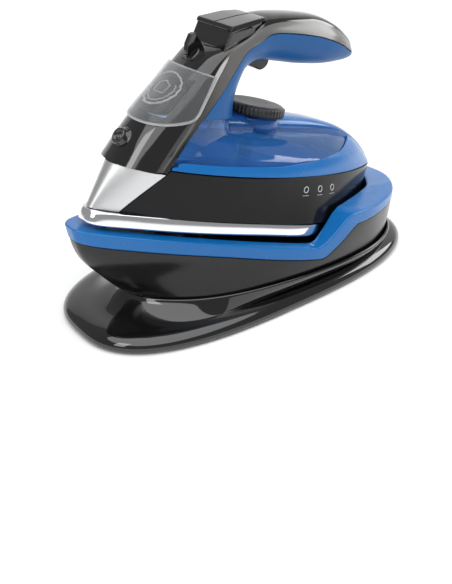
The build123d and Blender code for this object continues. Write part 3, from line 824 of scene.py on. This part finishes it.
door_rows = []
for step in range(17):
    row = []
    for column in range(-16, 17):
        share = abs(column) / 16 * 1.16
        low = 71.5 + 9.5 * (share / 1.16) ** 2.6 + 9 * max(0, share - 0.95) ** 1.2
        high = 109.5 - 1.5 * share ** 2
        u, v, w = skin(share, low + (high - low) * step / 16, 2.3)
        row.append(spot(u, math.copysign(v, -column), w))
    door_rows.append(row)
door = modify(grid("clear_door", door_rows), "SOLIDIFY", thickness=-0.0014, offset=-1)
seat(door, CLEAR, "door", ["filler_door"])
for side, name in ((-1, "near"), (1, "far")):
    arm_rows = []
    for step in range(12):
        w = 80 + 41 * step / 11
        reach = 0.2 if step < 10 else (0.16 if step == 10 else 0.08)
        row = []
        for across in range(6):
            u, v, height = skin(1.13 - reach / 2 + reach * across / 5, w - 3 * (across / 5 - 0.5), 2.35)
            row.append(spot(u, side * v, height))
        arm_rows.append(row)
    arm = modify(grid("door_arm_" + name, arm_rows), "SOLIDIFY", thickness=0.0014, offset=0)
    seat(soft_edges(arm, 0.3, 40, 2), LIP, "door", ())
border = [row[0] for row in reversed(door_rows)] + door_rows[0][1:-1] + [row[-1] for row in door_rows]
tube("door_lip_bead", border, 0.95, LIP, "door")
top_edge = door_rows[-1]
tube("door_top_bead", top_edge, 0.5, LIP, "door")


def on_front(v, w, out):
    """The point of the neck's face at a height and distance from its centre, let out."""
    k = min(range(len(front)), key=lambda i: abs(front[i][1] - w))
    run = front_half(k, 40)
    u = height_on([(p[1], p[0]) for p in run], abs(v))
    return spot(*outward(u, v, w, (front[k][0] + back[k][0]) / 2, out))


def ring_on_front(name, radius, bead, w0, out, material, body, start=0, stop=360, squeeze=0.8):
    points = []
    for step in range(49):
        turn = math.radians(start + (stop - start) * step / 48)
        points.append(on_front(radius * math.cos(turn), w0 + radius * squeeze * math.sin(turn), out))
    if stop - start == 360:
        points.pop()
    tube(name, points, bead, material, body, closed=stop - start == 360)


CUP_W = 90.8
CUP_MOUTH = [(-12.4, 0), (-12.4, 10), (-11, 16.6), (-9, 17.8), (9, 17.8), (11, 16.6), (12.4, 10), (12.4, 0)]
CUP_WALL = ((-0.3, 1.05), (-0.3, 1), (1, 0.97), (9, 0.84), (13, 0.7), (14, 0.5), (14, 0.02))
mouth = even(loop(CUP_MOUTH), 72)
cup_rows = [[on_front(v * keep, CUP_W + h * keep, -depth) for h, v in mouth] for depth, keep in CUP_WALL]
seat(grid("filler_cup", cup_rows, closed=True), FUNNEL, "iron", ["filler_funnel"])
for number, v in enumerate((-12, -6, 6, 12)):
    tube(f"cup_rib_{number}", [on_front(v, 82 + 2 * k, -6) for k in range(9)], 0.6, FUNNEL, "iron")
RING_W = 93.5
ring_on_front("door_ring", 13.4, 0.8, RING_W, 2.6, LIP, "door")
ring_on_front("door_inner_arc", 10.2, 0.5, RING_W, 2.6, LIP, "door", 150, 400)
sign = [(-4.5, -3.6), (4.5, -3.6), (5, 3.4), (0, 6.4), (-5, 3.4)]
sign_line = [on_front(v, RING_W + h * 0.8, 2.7) for v, h in even(sign + sign[:1], 41)[:-1]]
tube("door_tap_sign", sign_line, 0.45, LIP, "door", closed=True)

# ---------------------------------------------------------------- control panel and steam lever
# Black inlay over the door with three printed steam signs, and the fin-shaped lever that picks one.
PRINT = plastic("white_print", (0.55, 0.56, 0.57), 0.4, 0.0)
panel_rows = []
for step in range(13):
    pitch = 1.6 if step else 1.6 * 0.96
    panel_rows.append([on_front(pitch * k, 111 + 0.95 * step, 0.5) for k in range(-11, 12)])
panel = modify(grid("panel_inlay", panel_rows), "SOLIDIFY", thickness=-0.0012, offset=-1)
seat(panel, BLACK, "iron", ["control_panel"])
for number, v in enumerate((-11, 0, 11)):
    base = 111.6
    ring_on_front(f"panel_sign_{number}", 1.7, 0.22, base + 1.2, 1.1, PRINT, "iron", 200, 520 - 60 * number)
    ring_on_front(f"panel_mark_{number}", 0.7 + 0.4 * number, 0.2, base + 1.4, 1.15, PRINT, "iron")


def on_slope(s, h):
    """A side-view point from its distance up the panel and its height over it."""
    return -80.6 + 0.607 * s - 0.794 * h, 121 + 0.794 * s + 0.607 * h


FIN_VIEW = ((-4, -5), (-4.4, 2), (0.5, 6.6), (7, 9.4), (10.4, 7.6), (9, -5))
fin = slab("lever_fin", [on_slope(s, h) for s, h in FIN_VIEW], lambda u: 2.2)
seat(soft_edges(fin, 0.7, 20), BLACK, "lever", ["steam_lever"])


def lathe(name, profile, centre, axis, material, body, nodes=(), ripple=None, count=96):
    """A turned piece from (radius, height) steps about an axis; ripple varies the radius round it."""
    axis = axis.normalized()
    across = axis.cross(Vector((0, 1, 0))).normalized()
    over = axis.cross(across)
    rows = []
    for radius, height, *wave in profile:
        row = []
        for k in range(count):
            turn = 2 * math.pi * k / count
            r = radius + (wave[0] * ripple(turn) if wave else 0)
            reach = across * math.cos(turn) + over * math.sin(turn)
            row.append(centre + reach * r / 1000 + axis * height / 1000)
        rows.append(row)
    piece = grid(name, rows, closed=True, fill=(True, True))
    return seat(piece, material, body, nodes)


SLOPE = ALONG * -0.794 + UPRIGHT * 0.607
HUB = [(6, 0.9), (6, 2.6), (5.4, 3.4), (3.6, 3.6), (3, 3.2), (0.4, 3.2)]
hub_u, hub_w = on_slope(0, -5.4)
lathe("lever_hub", HUB, spot(hub_u, 0, hub_w), SLOPE, BLACK, "lever")

# ---------------------------------------------------------------- spray nozzle
# Round gloss black nozzle on the neck's foot, with a small orifice turned in its middle.
NOZZLE = ALONG * -0.93 + UPRIGHT * 0.37
NOZZLE_TURNED = [(8.2, -4), (8.2, 0.5), (7.6, 1.6), (6.6, 2), (6.2, 2.2), (6, 5.6), (5.4, 6.4), (4.4, 6.6),
                 (3.8, 6), (3.5, 4.6), (2.2, 4.4), (1.9, 5.2), (1.2, 5.2), (1, 3.8)]
lathe("nozzle", NOZZLE_TURNED, spot(-121.5, 0, 58), NOZZLE, BLACK, "iron", ["spray_nozzle"])

# ---------------------------------------------------------------- thermostat dial
# Satin black knurled dial on a clear blue drum behind the neck; its shaft runs down to the thermostat.
def teeth(turn):
    return 1 if (turn * 44 / (2 * math.pi)) % 1 < 0.62 else 0


DIAL_U = -12
KNOB = [(19, 0.2), (21.8, 0.2), (22, 0.8, 1.0), (22, 6.2, 1.0), (21.8, 6.9), (20.8, 7.6), (18, 7.9),
        (14, 7.7), (3, 7.4)]
DRUM = [(20.5, 0), (20.6, 6), (20.2, 9.6), (19.2, 10.9), (16, 11.3)]
lathe("knurled_dial", KNOB, spot(DIAL_U, 0, 80.2), UPRIGHT, SATIN, "dial", ["dial"], teeth, 480)
lathe("dial_drum", DRUM, spot(DIAL_U, 0, 68.6), UPRIGHT, TANK, "iron")
tube("dial_pointer", [spot(DIAL_U + r, 0, 88.1) for r in (10, 12, 14, 16)], 0.35, PRINT, "dial")
HOSE = plastic("silicone_hose", (0.5, 0.5, 0.48), 0.5, 0.0)
dress(HOSE, "pump_hoses")

# ---------------------------------------------------------------- printed signs on the skirt
# Three small pale signs and a fine rule, pad-printed on the skirt's side; the maker's words are left out.
def on_skirt(u, w, side, out=2.3):
    half = between(skirt_low, skirt_high, (w - 10) / 35)
    return spot(u, side * (height_on(half, u) + out), w)


SIGN_W, RULE_W, SIGN_R = 36, 31.6, 2.2
for side, name in ((-1, "near"), (1, "far")):
    for number, u in enumerate((9, 24.5, 40)):
        circle = []
        for step in range(24):
            turn = 2 * math.pi * step / 24
            circle.append(on_skirt(u + SIGN_R * math.cos(turn), SIGN_W + SIGN_R * math.sin(turn), side))
        tube(f"skirt_sign_{name}_{number}", circle, 0.32, PRINT, "iron", closed=True, sides=6)
        rule = [on_skirt(u - 3 + 1.5 * k, RULE_W, side) for k in range(5)]
        tube(f"skirt_rule_{name}_{number}", rule, 0.18, PRINT, "iron", sides=6)

# ---------------------------------------------------------------- floor, lights and camera
# White studio sweep with broad soft lights; the camera looks down on the near side, nose to the left.
def studio_white():
    s = Shader("studio_white")
    slow = s.noise(2, detail=2)
    return s.surface({"Base Color": s.mix(slow, (0.93, 0.93, 0.93), (0.95, 0.95, 0.95)), "Roughness": 0.9})


floor_rows = []
for step in range(25):
    turn = math.pi / 2 * max(0, step - 8) / 16
    run = -3 + step * 0.65 if step < 9 else 2.2 + 1.6 * math.sin(turn)
    rise = 1.6 * (1 - math.cos(turn)) if step > 8 else 0
    ahead = Vector((math.sin(math.radians(38)), math.cos(math.radians(38)), 0))
    aside = Vector((ahead.y, -ahead.x, 0))
    floor_rows.append([ahead * run + aside * k * 5 + Vector((0, 0, rise)) for k in (-1, 0, 1)])
floor_rows.append([p + Vector((0, 0, 3)) for p in floor_rows[-1]])
floor = grid("studio_floor", floor_rows)
floor.data.materials.append(studio_white())

world = bpy.data.worlds.new("studio")
world.use_nodes = True
world.node_tree.nodes["Background"].inputs[0].default_value = (1, 1, 1, 1)
world.node_tree.nodes["Background"].inputs[1].default_value = 0.32
bpy.context.scene.world = world


def softbox(name, place, aim, size, power):
    light = bpy.data.lights.new(name, "AREA")
    light.shape = "RECTANGLE"
    light.size, light.size_y = size
    light.energy = power
    holder = bpy.data.objects.new(name, light)
    holder.location = place
    holder.rotation_euler = (Vector(aim) - Vector(place)).to_track_quat("-Z", "Y").to_euler()
    bpy.context.collection.objects.link(holder)


softbox("left_box", (-1.0, -0.35, 0.75), (0, 0, 0.1), (0.35, 0.8), 3.4)
softbox("right_box", (1.05, -0.32, 0.6), (0, 0, 0.05), (0.6, 0.45), 5)
sky = bpy.data.lights.new("overhead", "SUN")
sky.energy, sky.angle = 2.5, math.radians(75)
overhead = bpy.data.objects.new("overhead", sky)
overhead.rotation_euler = (math.radians(14), math.radians(-8), 0)
bpy.context.collection.objects.link(overhead)

AZIMUTH, RISE, AWAY = math.radians(-38), math.radians(24.6), 0.65
target = Vector((-0.0125, 0, 0.0799))
back_way = Vector((math.sin(AZIMUTH) * math.cos(RISE), -math.cos(AZIMUTH) * math.cos(RISE), math.sin(RISE)))
lens = bpy.data.cameras.new("camera")
lens.lens, lens.sensor_width = 53.03, 36.0
lens.shift_x, lens.shift_y = -0.0086, -0.188
lens.clip_start, lens.clip_end = 0.01, 60
camera = bpy.data.objects.new("camera", lens)
camera.location = target + back_way * AWAY
camera.rotation_euler = (-back_way).to_track_quat("-Z", "Y").to_euler()
bpy.context.collection.objects.link(camera)
bpy.context.scene.camera = camera
bpy.context.scene.view_settings.view_transform = "Standard"
